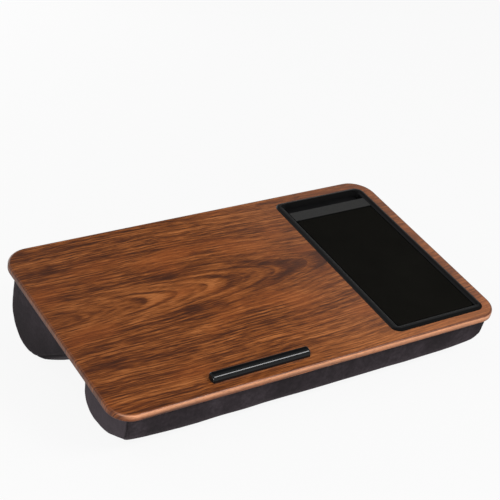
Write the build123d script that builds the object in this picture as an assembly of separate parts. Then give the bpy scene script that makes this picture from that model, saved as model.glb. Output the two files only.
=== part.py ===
from build123d import *
from dataclasses import dataclass
import math
import os

# Lap desk: a thin walnut-look board carried on two sewn fabric bolsters, with a moulded tray
# (mouse pad and phone slot) let into its right side and a stop ledge near its front edge.
#
# Every piece is first drawn in the board's own frame: X runs left to right, Y front to back,
# Z along the board's normal, with the origin at the middle of the board's top face. The
# finished pieces are then tilted about X and stood on the floor, because the rear bolster is
# the deeper one. All lengths are in millimetres and all angles in degrees.

# ---------------------------------------------------------------- driving dimensions
BOARD_TILT = 10.0                # the rear edge stands higher than the front edge
BOARD_LENGTH = 536.0
BOARD_DEPTH = 306.0
BOARD_THICKNESS = 9.0
BOARD_FRONT_CORNER_RADIUS = 27.5
BOARD_REAR_CORNER_RADIUS = 32.0
BOARD_TOP_EDGE_RADIUS = 3.0
BOARD_BOTTOM_EDGE_RADIUS = 1.2
FOIL_THICKNESS = 0.5

LINING_THICKNESS = 0.8
LINING_INSET = 4.0               # margin of bare board round the lining

TRAY_WIDTH = 142.4               # outer size of the rim bead, left to right
TRAY_SIDE_MARGIN = 14.8          # from the bead to the board's right edge
TRAY_FRONT_MARGIN = 13.3         # from the bead to the board's front edge
TRAY_REAR_MARGIN = 16.1          # from the bead to the board's rear edge
TRAY_CORNER_RADIUS = 12.0
BEAD_WIDTH = 10.0
BEAD_HEIGHT = 2.0
BEAD_OVERLAP = 3.5               # how far the bead lies over the board's face
TRAY_CLEARANCE = 0.3             # gap between the tray's body and the recess wall
TRAY_BODY_DEPTH = 4.2            # the body's underside, below the board's face
TRAY_FLOOR_THICKNESS = 1.5
CROSSBAR_WIDTH = 18.2
CROSSBAR_RISE = 0.6              # crossbar's top above the board's face
CROSSBAR_EDGE_RADIUS = 0.5
TROUGH_WIDTH = 19.0              # phone trough, front to back at its mouth
TROUGH_DEPTH = 7.0               # trough's floor, below the board's face
TROUGH_WALL = 1.5
TROUGH_DRAFT = 2.0               # how far the trough's walls close in towards its floor
TROUGH_REAR_CORNER_RADIUS = 9.0
TROUGH_FRONT_CORNER_RADIUS = 3.0

PAD_GAP = 1.2                    # groove between the mouse pad and the tray round it
PAD_CORNER_RADIUS = 4.0
PAD_BASE_THICKNESS = 2.0
PAD_CLOTH_THICKNESS = 0.5

LEDGE_LENGTH = 131.0
LEDGE_WIDTH = 12.0
LEDGE_HEIGHT = 8.0
LEDGE_SIDE_MARGIN = 125.0        # from the ledge's left end to the board's left edge
LEDGE_FRONT_MARGIN = 14.0        # from the ledge's nose to the board's front edge
LEDGE_NOSE_RADIUS = 7.0
LEDGE_BACK_RADIUS = 2.8
LEDGE_END_RADIUS = 2.4
LEDGE_SCREW_INSET = 20.5         # from each end of the ledge
LEDGE_SCREW_LENGTH = 11.5

SCREW_RADIUS = 1.25
SCREW_HEAD_RADIUS = 2.6
SCREW_HEAD_HEIGHT = 1.8
SCREW_HOLE_CLEARANCE = 0.35      # round the shank where it passes through the board
COUNTERBORE_CLEARANCE = 0.4      # round the head
COUNTERBORE_DEPTH = 2.0
TRAY_SCREW_LENGTH = 6.0
TRAY_SIDE_SCREW_ROWS = 3
TRAY_SIDE_SCREW_FRONT_INSET = 21.7   # first row, behind the bead's front edge
TRAY_SIDE_SCREW_REAR_INSET = 26.7    # last row, in front of the crossbar
TRAY_FRONT_SCREW_REACH = 15.0        # to either side of the tray's middle

FLOOR_DROP = 88.5                # floor below the middle of the board's face, along its normal
FABRIC_THICKNESS = 1.2
SEAM_MARGIN = 17.5               # from a bolster's end seam to the board's side edge
END_BULGE = 3.0                  # how far an end panel swells past its seam
END_BULGE_EDGE = 10.0            # how far the swelling's crown draws in from the seam
TAPER_ANGLES = (0, 28, 50, 68, 80, 90)   # round the taper's quarter ellipse, up to the seam
BULGE_ANGLES = (30, 60, 90)      # round the end panel's swelling, from the seam outwards
ROUNDING_SHARE = 0.98            # most of a wall that the roundings at its two ends may take
PANEL_THICKNESS = 3.0            # hardboard that closes a bolster's top

STAPLE_WIRE = 1.0
STAPLE_CROWN = 11.0
STAPLE_BITE = 4.0                # how far the legs enter the board
STAPLE_COLUMNS = 5
STAPLE_END_INSET = 42.0          # first and last columns, in from the end seams
STAPLE_WALL_INSET = 18.0         # front rows, behind a bolster's front wall
FRONT_STAPLE_REAR_INSET = 18.5   # front bolster's rear row, before its rear wall
STAPLE_SLOT_INSET = 11.0         # rear bolster's rear row, before the trough's slot


@dataclass
class BolsterSize:
    """Cross-section of one bolster, measured square to the board."""
    width: float                 # front wall to rear wall
    toe_setback: float           # front wall to where the slanting underside meets the floor
    shoulder_drop: float         # height of the front wall, down from the lining
    heel_radius: float           # rear wall to floor
    toe_radius: float            # floor to slant
    shoulder_radius: float       # slant to front wall
    taper_length: float          # stretch over which the underside rises towards an end seam
    shoulder_lift: float         # how far the shoulder has risen at the seam
    toe_draw: float              # and how far the toe has moved back
    end_lean: float              # angle at which the end panels lean in towards the floor


FRONT_BOLSTER_MARGIN = 5.8       # from its front wall to the board's front edge
FRONT_BOLSTER = BolsterSize(
    width=99.7, toe_setback=33.3, shoulder_drop=39.5, heel_radius=25.0,
    toe_radius=62.0, shoulder_radius=28.0, taper_length=94.0, shoulder_lift=9.6,
    toe_draw=13.2, end_lean=4.5)
BOLSTER_GAP = 25.5               # open space between the two bolsters
REAR_BOLSTER_MARGIN = 12.0       # from its rear wall to the board's rear edge
REAR_BOLSTER_FRONT_INSET = FRONT_BOLSTER_MARGIN + FRONT_BOLSTER.width + BOLSTER_GAP
REAR_BOLSTER = BolsterSize(
    width=BOARD_DEPTH - REAR_BOLSTER_FRONT_INSET - REAR_BOLSTER_MARGIN,
    toe_setback=70.3, shoulder_drop=17.4, heel_radius=42.0,
    toe_radius=60.0, shoulder_radius=19.4, taper_length=54.0, shoulder_lift=7.4,
    toe_draw=26.0, end_lean=0.0)

# ---------------------------------------------------------------- derived places
BOARD_UNDERSIDE = -BOARD_THICKNESS
LINING_UNDERSIDE = BOARD_UNDERSIDE - LINING_THICKNESS
PANEL_UNDERSIDE = LINING_UNDERSIDE - PANEL_THICKNESS
TRAY_LENGTH = BOARD_DEPTH - TRAY_FRONT_MARGIN - TRAY_REAR_MARGIN    # rim bead, front to back
TRAY_CENTRE_X = BOARD_LENGTH / 2 - TRAY_SIDE_MARGIN - TRAY_WIDTH / 2
TRAY_CENTRE_Y = BOARD_DEPTH / 2 - TRAY_REAR_MARGIN - TRAY_LENGTH / 2
TRAY_CENTRE = (TRAY_CENTRE_X, TRAY_CENTRE_Y)
TRAY_FRONT_Y = TRAY_CENTRE_Y - TRAY_LENGTH / 2
TRAY_REAR_Y = TRAY_CENTRE_Y + TRAY_LENGTH / 2
TRAY_BODY_WIDTH = TRAY_WIDTH - 2 * BEAD_OVERLAP
TRAY_BODY_LENGTH = TRAY_LENGTH - 2 * BEAD_OVERLAP
TRAY_BODY_REAR_Y = TRAY_REAR_Y - BEAD_OVERLAP
TRAY_BODY_CORNER = TRAY_CORNER_RADIUS - BEAD_OVERLAP
TRAY_INNER_WIDTH = TRAY_WIDTH - 2 * BEAD_WIDTH
TRAY_INNER_FRONT_Y = TRAY_FRONT_Y + BEAD_WIDTH
TRAY_RING_MIDDLE = (BEAD_OVERLAP + BEAD_WIDTH) / 2      # in from the bead's outer edge
TROUGH_REAR_Y = TRAY_BODY_REAR_Y - TROUGH_WALL
TROUGH_FRONT_Y = TROUGH_REAR_Y - TROUGH_WIDTH
TROUGH_BODY_FRONT_Y = TROUGH_FRONT_Y - TROUGH_WALL
TROUGH_UNDERSIDE = -TROUGH_DEPTH - TROUGH_WALL
CROSSBAR_FRONT_Y = TROUGH_FRONT_Y - CROSSBAR_WIDTH
PAD_SEAT = -TRAY_BODY_DEPTH + TRAY_FLOOR_THICKNESS
LEDGE_CENTRE_X = -BOARD_LENGTH / 2 + LEDGE_SIDE_MARGIN + LEDGE_LENGTH / 2
LEDGE_CENTRE_Y = -BOARD_DEPTH / 2 + LEDGE_FRONT_MARGIN + LEDGE_WIDTH / 2
SEAM_X = BOARD_LENGTH / 2 - SEAM_MARGIN
FRONT_BOLSTER_FRONT_Y = -BOARD_DEPTH / 2 + FRONT_BOLSTER_MARGIN
REAR_BOLSTER_FRONT_Y = -BOARD_DEPTH / 2 + REAR_BOLSTER_FRONT_INSET
FRONT_STAPLE_ROWS = (
    FRONT_BOLSTER_FRONT_Y + STAPLE_WALL_INSET,
    FRONT_BOLSTER_FRONT_Y + FRONT_BOLSTER.width - FRONT_STAPLE_REAR_INSET)
REAR_STAPLE_ROWS = (
    REAR_BOLSTER_FRONT_Y + STAPLE_WALL_INSET,
    TROUGH_BODY_FRONT_Y - TRAY_CLEARANCE - STAPLE_SLOT_INSET)
SCREW_HEAD_SEAT = BOARD_UNDERSIDE + COUNTERBORE_DEPTH
FAR = 1000.0                     # longer than anything that it cuts


# ---------------------------------------------------------------- helpers
def rounded_plate(width, depth, radius, z_low, z_high, centre=(0.0, 0.0)):
    """Upright plate with rounded corners between two heights."""
    outline = Pos(centre[0], centre[1], z_low) * RectangleRounded(width, depth, radius)
    return extrude(outline, z_high - z_low)


def board_plate(inset, z_low, z_high):
    """Upright plate of the board's own outline, drawn in by inset, between two heights."""
    outline = Pos(0, 0, z_low) * Rectangle(BOARD_LENGTH - 2 * inset, BOARD_DEPTH - 2 * inset)
    front_corners, rear_corners = outline.vertices().group_by(Axis.Y)
    plate = extrude(outline, z_high - z_low)
    for corners, radius in ((front_corners, BOARD_FRONT_CORNER_RADIUS),
                            (rear_corners, BOARD_REAR_CORNER_RADIUS)):
        side = corners[0].Y
        edges = [edge for edge in plate.edges().filter_by(Axis.Z) if abs(edge.center().Y - side) < 1e-6]
        plate = fillet(edges, radius - inset)
    return plate


def block(x_low, x_high, y_low, y_high, z_low, z_high):
    """Plain block between two corners."""
    middle = ((x_low + x_high) / 2, (y_low + y_high) / 2, (z_low + z_high) / 2)
    return Pos(*middle) * Box(x_high - x_low, y_high - y_low, z_high - z_low)


def upright_rod(x, y, radius, z_low, z_high):
    """Round rod along the board's normal."""
    return Pos(x, y, (z_low + z_high) / 2) * Cylinder(radius, z_high - z_low)


def ledge_screw_places():
    """Plan positions of the two screws under the ledge."""
    reach = LEDGE_LENGTH / 2 - LEDGE_SCREW_INSET
    return [(LEDGE_CENTRE_X - reach, LEDGE_CENTRE_Y), (LEDGE_CENTRE_X + reach, LEDGE_CENTRE_Y)]


def tray_screw_places():
    """Plan positions of the screws that hold the tray's ring from below."""
    side = TRAY_WIDTH / 2 - TRAY_RING_MIDDLE
    first_y = TRAY_FRONT_Y + TRAY_SIDE_SCREW_FRONT_INSET
    last_y = CROSSBAR_FRONT_Y - TRAY_SIDE_SCREW_REAR_INSET
    pitch = (last_y - first_y) / (TRAY_SIDE_SCREW_ROWS - 1)
    places = []
    for row in range(TRAY_SIDE_SCREW_ROWS):
        y = first_y + row * pitch
        places += [(TRAY_CENTRE_X - side, y), (TRAY_CENTRE_X + side, y)]
    for x in (TRAY_CENTRE_X - TRAY_FRONT_SCREW_REACH, TRAY_CENTRE_X + TRAY_FRONT_SCREW_REACH):
        places.append((x, TRAY_FRONT_Y + TRAY_RING_MIDDLE))
    return places


def screw(x, y, length):
    """Pan-head screw driven up from the board's underside."""
    head = upright_rod(x, y, SCREW_HEAD_RADIUS, SCREW_HEAD_SEAT - SCREW_HEAD_HEIGHT, SCREW_HEAD_SEAT)
    shank = upright_rod(x, y, SCREW_RADIUS, SCREW_HEAD_SEAT, SCREW_HEAD_SEAT + length)
    return head + shank


def screw_passage(x, y):
    """Clearance hole and counterbore that a screw needs in the board."""
    hole = upright_rod(x, y, SCREW_RADIUS + SCREW_HOLE_CLEARANCE, SCREW_HEAD_SEAT, BEAD_HEIGHT)
    bore_radius = SCREW_HEAD_RADIUS + COUNTERBORE_CLEARANCE
    return hole + upright_rod(x, y, bore_radius, BOARD_UNDERSIDE - LINING_THICKNESS / 2, SCREW_HEAD_SEAT)


# ---------------------------------------------------------------- board
def board_block(shrink):
    """The board's rounded slab, drawn in from its skin by shrink on the top and sides."""
    slab = board_plate(shrink, BOARD_UNDERSIDE, -shrink)
    rim = slab.faces().sort_by(Axis.Z)[-1].edges()
    return fillet(rim, BOARD_TOP_EDGE_RADIUS - shrink)


def board_outer():
    """The whole board, with its softened lower edge."""
    slab = board_block(0.0)
    rim = slab.faces().sort_by(Axis.Z)[0].edges()
    return fillet(rim, BOARD_BOTTOM_EDGE_RADIUS)


def tray_seat():
    """Space that the board leaves for the tray: a shallow recess and the trough's slot."""
    grow = 2 * TRAY_CLEARANCE
    recess = rounded_plate(TRAY_BODY_WIDTH + grow, TRAY_BODY_LENGTH + grow,
                           TRAY_BODY_CORNER + TRAY_CLEARANCE, -TRAY_BODY_DEPTH, BEAD_HEIGHT, TRAY_CENTRE)
    column = rounded_plate(TRAY_BODY_WIDTH + grow, TRAY_BODY_LENGTH + grow,
                           TRAY_BODY_CORNER + TRAY_CLEARANCE, -FAR, FAR, TRAY_CENTRE)
    band = block(-FAR, FAR, TROUGH_BODY_FRONT_Y - TRAY_CLEARANCE, FAR, BOARD_UNDERSIDE, -TRAY_BODY_DEPTH)
    return recess + (column & band)


def board_cuts():
    """Everything that is cut out of the board and its foil."""
    cuts = [tray_seat()]
    cuts += [screw_passage(x, y) for x, y in ledge_screw_places() + tray_screw_places()]
    return cuts


# ---------------------------------------------------------------- tray
def rim_bead():
    """Domed bead that frames the tray and lies over the edge of its recess."""
    left_x = TRAY_CENTRE_X - TRAY_WIDTH / 2
    middle_x = left_x + BEAD_WIDTH / 2
    dome = make_face([
        Line((left_x, 0), (left_x + BEAD_WIDTH, 0)),
        ThreePointArc((left_x + BEAD_WIDTH, 0), (middle_x, BEAD_HEIGHT), (left_x, 0)),
    ])
    section = Location((0, TRAY_CENTRE_Y, 0)) * (Rot(90, 0, 0) * dome)
    path_face = Pos(*TRAY_CENTRE, 0) * RectangleRounded(
        TRAY_WIDTH - BEAD_WIDTH, TRAY_LENGTH - BEAD_WIDTH, TRAY_CORNER_RADIUS - BEAD_WIDTH / 2)
    return sweep(section, path=path_face.face().outer_wire())


def trough_outline(draw_in, z):
    """Plan outline of the phone trough at one height; draw_in closes its walls in."""
    half = TRAY_INNER_WIDTH / 2 - draw_in
    left, right = TRAY_CENTRE_X - half, TRAY_CENTRE_X + half
    front, rear = TROUGH_FRONT_Y + draw_in, TROUGH_REAR_Y - draw_in
    sheet = Pos((left + right) / 2, (front + rear) / 2, z) * Rectangle(right - left, rear - front)
    corners = sheet.vertices().group_by(Axis.Y)
    sheet = fillet(corners[0], TROUGH_FRONT_CORNER_RADIUS)
    corners = sheet.vertices().group_by(Axis.Y)
    return fillet(corners[-1], TROUGH_REAR_CORNER_RADIUS)


def trough_hollow():
    """Space inside the phone trough, wider at its mouth than at its floor."""
    floor = trough_outline(TROUGH_DRAFT, -TROUGH_DEPTH)
    mouth = trough_outline(0.0, 0.0)
    top = trough_outline(0.0, BEAD_HEIGHT + CROSSBAR_RISE)
    return loft([floor, mouth], ruled=True) + loft([mouth, top], ruled=True)


def tray_frame():
    """Black moulding: rim bead, ring, pad floor, crossbar and phone trough."""
    ring = rounded_plate(TRAY_BODY_WIDTH, TRAY_BODY_LENGTH, TRAY_BODY_CORNER,
                         -TRAY_BODY_DEPTH, 0.0, TRAY_CENTRE)
    half = TRAY_INNER_WIDTH / 2
    left, right = TRAY_CENTRE_X - half, TRAY_CENTRE_X + half
    pad_well = block(left, right, TRAY_INNER_FRONT_Y, CROSSBAR_FRONT_Y, PAD_SEAT, BEAD_HEIGHT)
    column = rounded_plate(TRAY_BODY_WIDTH, TRAY_BODY_LENGTH, TRAY_BODY_CORNER, -FAR, FAR, TRAY_CENTRE)
    band = block(-FAR, FAR, TROUGH_BODY_FRONT_Y, FAR, TROUGH_UNDERSIDE, -TRAY_BODY_DEPTH)
    crossbar = block(left, right, CROSSBAR_FRONT_Y, TROUGH_FRONT_Y, -TRAY_BODY_DEPTH, CROSSBAR_RISE)
    top_edges = crossbar.faces().sort_by(Axis.Z)[-1].edges().filter_by(Axis.X)
    crossbar = fillet(top_edges, CROSSBAR_EDGE_RADIUS)
    body = ring + (column & band) + rim_bead() + crossbar - pad_well - trough_hollow()
    for x, y in tray_screw_places():
        body -= upright_rod(x, y, SCREW_RADIUS, -TRAY_BODY_DEPTH, SCREW_HEAD_SEAT + TRAY_SCREW_LENGTH)
    return body


def pad_layer(z_low, thickness):
    """One layer of the mouse pad, lying in the tray's well."""
    width = TRAY_INNER_WIDTH - 2 * PAD_GAP
    front, rear = TRAY_INNER_FRONT_Y + PAD_GAP, CROSSBAR_FRONT_Y - PAD_GAP
    centre = (TRAY_CENTRE_X, (front + rear) / 2)
    return rounded_plate(width, rear - front, PAD_CORNER_RADIUS, z_low, z_low + thickness, centre)


# ---------------------------------------------------------------- ledge
def device_ledge():
    """Stop bar with a round nose in front and an upright face behind."""
    profile = Plane.YZ * Pos(LEDGE_CENTRE_Y, LEDGE_HEIGHT / 2) * Rectangle(LEDGE_WIDTH, LEDGE_HEIGHT)
    upper = profile.vertices().group_by(Axis.Z)[-1].sort_by(Axis.Y)
    profile = fillet(upper[0], LEDGE_NOSE_RADIUS)
    upper = profile.vertices().group_by(Axis.Z)[-1].sort_by(Axis.Y)
    profile = fillet(upper[-1], LEDGE_BACK_RADIUS)
    bar = Pos(LEDGE_CENTRE_X - LEDGE_LENGTH / 2, 0, 0) * extrude(profile, LEDGE_LENGTH)
    ends = bar.faces().sort_by(Axis.X)
    rims = [edge for end in (ends[0], ends[-1]) for edge in end.edges() if edge.center().Z > 0.01]
    bar = fillet(rims, LEDGE_END_RADIUS)
    for x, y in ledge_screw_places():
        bar -= upright_rod(x, y, SCREW_RADIUS, 0.0, SCREW_HEAD_SEAT + LEDGE_SCREW_LENGTH)
    return bar


# ---------------------------------------------------------------- bolsters
def floor_height(y):
    """Height of the floor in the board's frame at a place y."""
    return -FLOOR_DROP - y * math.tan(math.radians(BOARD_TILT))


def fitting_radii(corners, radii):
    """Radii of the inner corners of a line of corners, limited so that two roundings fit their wall."""
    points = [Vector(*corner) for corner in corners]
    walls = [after - before for before, after in zip(points, points[1:])]
    half_turns = [math.radians(one.get_angle(other)) / 2 for one, other in zip(walls, walls[1:])]
    radii = list(radii)
    for index, wall in enumerate(walls[1:-1]):
        reach = sum(radii[end] * math.tan(half_turns[end]) for end in (index, index + 1))
        share = min(1.0, ROUNDING_SHARE * wall.length / reach)
        radii[index:index + 2] = [share * radius for radius in radii[index:index + 2]]
    return radii


def bolster_section(size, front_y, x, share, inset):
    """Cross-section of a bolster at a place x, with this share of the end taper and lean.

    It is drawn in from the outer skin by inset."""
    above = LINING_UNDERSIDE + size.heel_radius
    rear_y = front_y + size.width
    toe_y = front_y + size.toe_setback + share * size.toe_draw
    top_rear, top_front = (rear_y, above), (front_y, above)
    heel = (rear_y, floor_height(rear_y))
    toe = (toe_y, floor_height(toe_y))
    shoulder = (front_y, LINING_UNDERSIDE - size.shoulder_drop + share * size.shoulder_lift)
    sheet = make_face(Polyline(top_front, top_rear, heel, toe, shoulder, close=True))
    radii = fitting_radii((top_rear, heel, toe, shoulder, top_front),
                          (size.heel_radius, size.toe_radius, size.shoulder_radius))
    for corner, radius in zip((heel, toe, shoulder), radii):
        nearest = sheet.vertices().sort_by_distance((*corner, 0))[0]
        sheet = fillet(nearest, radius)
    if inset > 0:
        sheet = offset(sheet, -inset, kind=Kind.INTERSECTION)
    lid = Pos(0, LINING_UNDERSIDE + FAR / 2) * Rectangle(FAR, FAR)
    lean = math.copysign(share, x) * size.end_lean
    upright = Plane.YZ * Pos(0, -LINING_UNDERSIDE)
    return Pos(x, 0, LINING_UNDERSIDE) * Rot(0, lean, 0) * (upright * (sheet - lid))


def bolster_body(size, front_y, shrink):
    """Closed bolster shape: straight middle, tapered ends and swelling end panels."""
    stations = []
    for angle in TAPER_ANGLES:
        before_seam = size.taper_length * (1 - math.sin(math.radians(angle)))
        share = 1 - math.cos(math.radians(angle))
        stations.append((SEAM_X - before_seam, share, 0.0))
    for angle in BULGE_ANGLES:
        reach = (END_BULGE - shrink) * math.sin(math.radians(angle))
        draw_in = END_BULGE_EDGE * (1 - math.cos(math.radians(angle)))
        stations.append((SEAM_X + reach, 1.0, draw_in))
    stations = [(-x, share, draw_in) for x, share, draw_in in reversed(stations)] + stations
    sections = [bolster_section(size, front_y, x, share, draw_in + shrink)
                for x, share, draw_in in stations]
    return loft(sections, ruled=True)


def beyond_seam(size, side):
    """Everything past the plane of one end seam; side is -1 for the left one, 1 for the right."""
    outside = block(0, FAR, -FAR, FAR, -FAR, FAR) if side > 0 else block(-FAR, 0, -FAR, FAR, -FAR, FAR)
    return Pos(side * SEAM_X, 0, LINING_UNDERSIDE) * Rot(0, side * size.end_lean, 0) * outside


def staple(x, y):
    """One wire staple: crown let into the panel's underside, legs up into the board."""
    top = BOARD_UNDERSIDE + STAPLE_BITE
    half = STAPLE_CROWN / 2
    wire = STAPLE_WIRE / 2
    crown = block(x - half, x + half, y - wire, y + wire, PANEL_UNDERSIDE, PANEL_UNDERSIDE + STAPLE_WIRE)
    left = block(x - half, x - half + STAPLE_WIRE, y - wire, y + wire, PANEL_UNDERSIDE, top)
    right = block(x + half - STAPLE_WIRE, x + half, y - wire, y + wire, PANEL_UNDERSIDE, top)
    return crown + left + right


def staple_places(rows_y):
    """Plan positions of one bolster's staples."""
    first = -SEAM_X + STAPLE_END_INSET
    pitch = -2 * first / (STAPLE_COLUMNS - 1)
    return [(first + column * pitch, y) for y in rows_y for column in range(STAPLE_COLUMNS)]


def bolster_pieces(name, size, front_y, staple_rows):
    """The separate pieces of one bolster."""
    outer = bolster_body(size, front_y, 0.0)
    inner = bolster_body(size, front_y, FABRIC_THICKNESS)
    skin = outer - inner
    beyond_left, beyond_right = beyond_seam(size, -1), beyond_seam(size, 1)
    panel_slab = block(-FAR, FAR, -FAR, FAR, PANEL_UNDERSIDE, LINING_UNDERSIDE)
    staples = [staple(x, y) for x, y in staple_places(staple_rows)]
    return {
        name + "_cover": skin - beyond_left - beyond_right,
        name + "_left_end": skin & beyond_left,
        name + "_right_end": skin & beyond_right,
        name + "_panel": (inner & panel_slab) - staples,
        name + "_fill": inner - panel_slab,
        name + "_staples": Compound(staples),
    }


# ---------------------------------------------------------------- assembly
def all_pieces():
    """Every piece of the lap desk in the board's frame."""
    outer = board_outer()
    inner = board_block(FOIL_THICKNESS) & outer
    cuts = board_cuts()
    front = bolster_pieces("front_bolster", FRONT_BOLSTER, FRONT_BOLSTER_FRONT_Y, FRONT_STAPLE_ROWS)
    rear = bolster_pieces("rear_bolster", REAR_BOLSTER, REAR_BOLSTER_FRONT_Y, REAR_STAPLE_ROWS)
    staples = [*front["front_bolster_staples"].solids(), *rear["rear_bolster_staples"].solids()]
    lining = board_plate(LINING_INSET, LINING_UNDERSIDE, BOARD_UNDERSIDE)
    return {
        "board_core": inner - cuts - staples,
        "walnut_foil": outer - inner - cuts,
        "underside_lining": lining - staples,
        "tray_frame": tray_frame(),
        "mouse_pad_base": pad_layer(PAD_SEAT, PAD_BASE_THICKNESS),
        "mouse_pad_cloth": pad_layer(PAD_SEAT + PAD_BASE_THICKNESS, PAD_CLOTH_THICKNESS),
        "tray_screws": Compound([screw(x, y, TRAY_SCREW_LENGTH) for x, y in tray_screw_places()]),
        "device_ledge": device_ledge(),
        "ledge_screws": Compound([screw(x, y, LEDGE_SCREW_LENGTH) for x, y in ledge_screw_places()]),
        **front,
        **rear,
    }


def stand_on_floor(pieces):
    """Tilt the pieces and put the origin on the floor under the middle of the desk."""
    tilted = {name: Rot(BOARD_TILT, 0, 0) * piece for name, piece in pieces.items()}
    bounds = Compound([solid for piece in tilted.values() for solid in piece.solids()]).bounding_box()
    lift = FLOOR_DROP * math.cos(math.radians(BOARD_TILT))
    to_middle = Pos(0, -(bounds.min.Y + bounds.max.Y) / 2, lift)
    return {name: to_middle * piece for name, piece in tilted.items()}


os.makedirs("parts", exist_ok=True)
for node, piece in stand_on_floor(all_pieces()).items():
    export_step(piece, f"parts/{node}.step")
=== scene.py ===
"""Looks of the lap desk: finishes for its walnut board, moulded tray, mouse pad and stop ledge,
and the two stuffed cloth bolsters that carry it. Lengths are in metres, in the row frame."""

import math
from dataclasses import dataclass

import bpy
import numpy as np
from mathutils import Matrix, Vector, kdtree, noise


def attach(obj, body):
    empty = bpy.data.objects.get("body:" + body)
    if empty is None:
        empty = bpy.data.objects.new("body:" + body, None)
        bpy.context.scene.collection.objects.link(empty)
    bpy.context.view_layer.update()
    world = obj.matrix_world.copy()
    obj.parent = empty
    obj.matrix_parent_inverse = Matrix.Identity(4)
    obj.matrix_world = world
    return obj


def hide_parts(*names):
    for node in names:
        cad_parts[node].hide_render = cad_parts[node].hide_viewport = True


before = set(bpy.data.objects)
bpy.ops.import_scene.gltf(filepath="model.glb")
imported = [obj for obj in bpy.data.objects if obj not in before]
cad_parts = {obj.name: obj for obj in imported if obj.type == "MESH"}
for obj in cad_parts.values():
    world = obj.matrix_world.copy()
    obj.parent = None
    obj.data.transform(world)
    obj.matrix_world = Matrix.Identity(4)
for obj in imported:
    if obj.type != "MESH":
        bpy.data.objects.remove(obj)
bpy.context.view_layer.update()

MM = 0.001

# ---------------------------------------------------------------- sizes of the desk
BOARD_TILT = math.radians(10.0)
LINING_UNDERSIDE = -9.8 * MM             # from the board's face, along its normal
CROSSBAR_Y = (94.7 * MM, 112.9 * MM)     # front and rear of the bar behind the mouse pad
CROSSBAR_X = 182.0 * MM                  # its middle
CROSSBAR_HALF = 61.2 * MM                # half its width
SEAM_X = 250.5 * MM                      # end seams of both bolsters
END_BULGE = 3.0 * MM
END_BULGE_EDGE = 10.0 * MM
END_CROWN = 1.6 * MM                     # extra swelling at the middle of an end panel
TOP_FOLD_RADIUS = 2.0 * MM               # where the cloth turns in under the board
RING_SPACING = 3.2 * MM                  # mesh spacing round a bolster
STATION_SPACING = 5.0 * MM               # mesh spacing along a bolster
TAPER_ANGLES = (0, 12, 24, 36, 46, 55, 62, 68, 73, 77, 81, 84, 87, 90)   # rings up to the seam
CAP_ANGLES = (12, 24, 36, 48, 60, 75, 90)                   # rings round an end panel's edge
CAP_RINGS = (0.9, 0.78, 0.64, 0.5, 0.36, 0.22, 0.1)         # and inwards on its flat
CAP_REACH = 50.0 * MM                    # from an end panel's middle to its edge, roughly


@dataclass
class Bolster:
    """One bolster's cross-section, measured in the board's axes."""
    name: str
    front_y: float
    rear_y: float
    toe_setback: float
    shoulder_drop: float
    heel_radius: float
    toe_radius: float
    shoulder_radius: float
    taper_length: float
    shoulder_lift: float
    toe_draw: float
    end_lean: float


FRONT_BOLSTER = Bolster(
    "front_bolster", -147.2 * MM, -47.5 * MM, toe_setback=33.3 * MM, shoulder_drop=39.5 * MM,
    heel_radius=25.0 * MM, toe_radius=62.0 * MM, shoulder_radius=28.0 * MM,
    taper_length=94.0 * MM, shoulder_lift=9.6 * MM, toe_draw=13.2 * MM, end_lean=math.radians(4.5))
REAR_BOLSTER = Bolster(
    "rear_bolster", -22.0 * MM, 141.0 * MM, toe_setback=70.3 * MM, shoulder_drop=17.4 * MM,
    heel_radius=42.0 * MM, toe_radius=60.0 * MM, shoulder_radius=19.4 * MM,
    taper_length=54.0 * MM, shoulder_lift=7.4 * MM, toe_draw=26.0 * MM, end_lean=0.0)

# ---------------------------------------------------------------- how the cloth is filled
SIM_VOXEL = 5.0 * MM
SIM_INSET = 1.5 * MM                     # the shape starts this much smaller, then swells
SIM_FRAMES = 20
CLOTH_SETTINGS = {
    "quality": 6, "mass": 0.25, "tension_stiffness": 25.0, "compression_stiffness": 25.0,
    "shear_stiffness": 8.0, "bending_stiffness": 1.5, "use_pressure": True,
    "uniform_pressure_force": 4.0,
    "shrink_min": -0.012}                # that share of spare cloth wrinkles at the seams
NEAR_POINTS = 8                          # points of the swollen copy that move one of the mesh
SWELL_LIMIT = 1.5 * MM
FRONT_SWELL = 1.4 * MM                   # the slanting front bows out by this much
RIPPLE_PASSES = 14                       # smooths away what is finer than the cloth's ripples
FORM_PASSES = 120                        # and keeps the bolster's own form under them
SEAM_HOLD = 14.0 * MM                    # the seams hold the cloth this far to either side
TOP_HOLD = 6.0 * MM                      # and the board holds it this far down
FULL_HOLD = 1.3                          # over 1, so that the cloth is still right at both
CREASE_START = 0.4                       # share of TOP_HOLD that stays without a crease
CONTACT_GAP = 0.02 * MM
SEAM_DEPTH = 1.9 * MM
SEAM_WIDTH = 1.7 * MM
PUCKER_DEPTH = 0.5 * MM
PUCKER_REACH = 9.0 * MM
PUCKER_PITCH = 8.0 * MM
SLACK_DEPTH = 0.5 * MM                   # slow unevenness of the stuffing
SLACK_SIZE = 45.0 * MM
STITCH_PITCH = 3.4 * MM
STITCH_LENGTH = 2.3 * MM
STITCH_TOP_GAP = 3.0 * MM                # seam without stitches under the board
STITCH_FLOOR_GAP = 1.0 * MM              # and on the floor
THREAD_RADIUS = 0.3 * MM
CLOTH_MAP = "cloth"                      # place on the flat cloth, in metres
SEAM_SHADE = "seam_shade"                # painted shade: 1 at the bottom of a seam, 0 outside it
SEAM_SHADE_WIDTH = 1.0 * MM
SAME_PLACE = 1e-6

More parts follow.
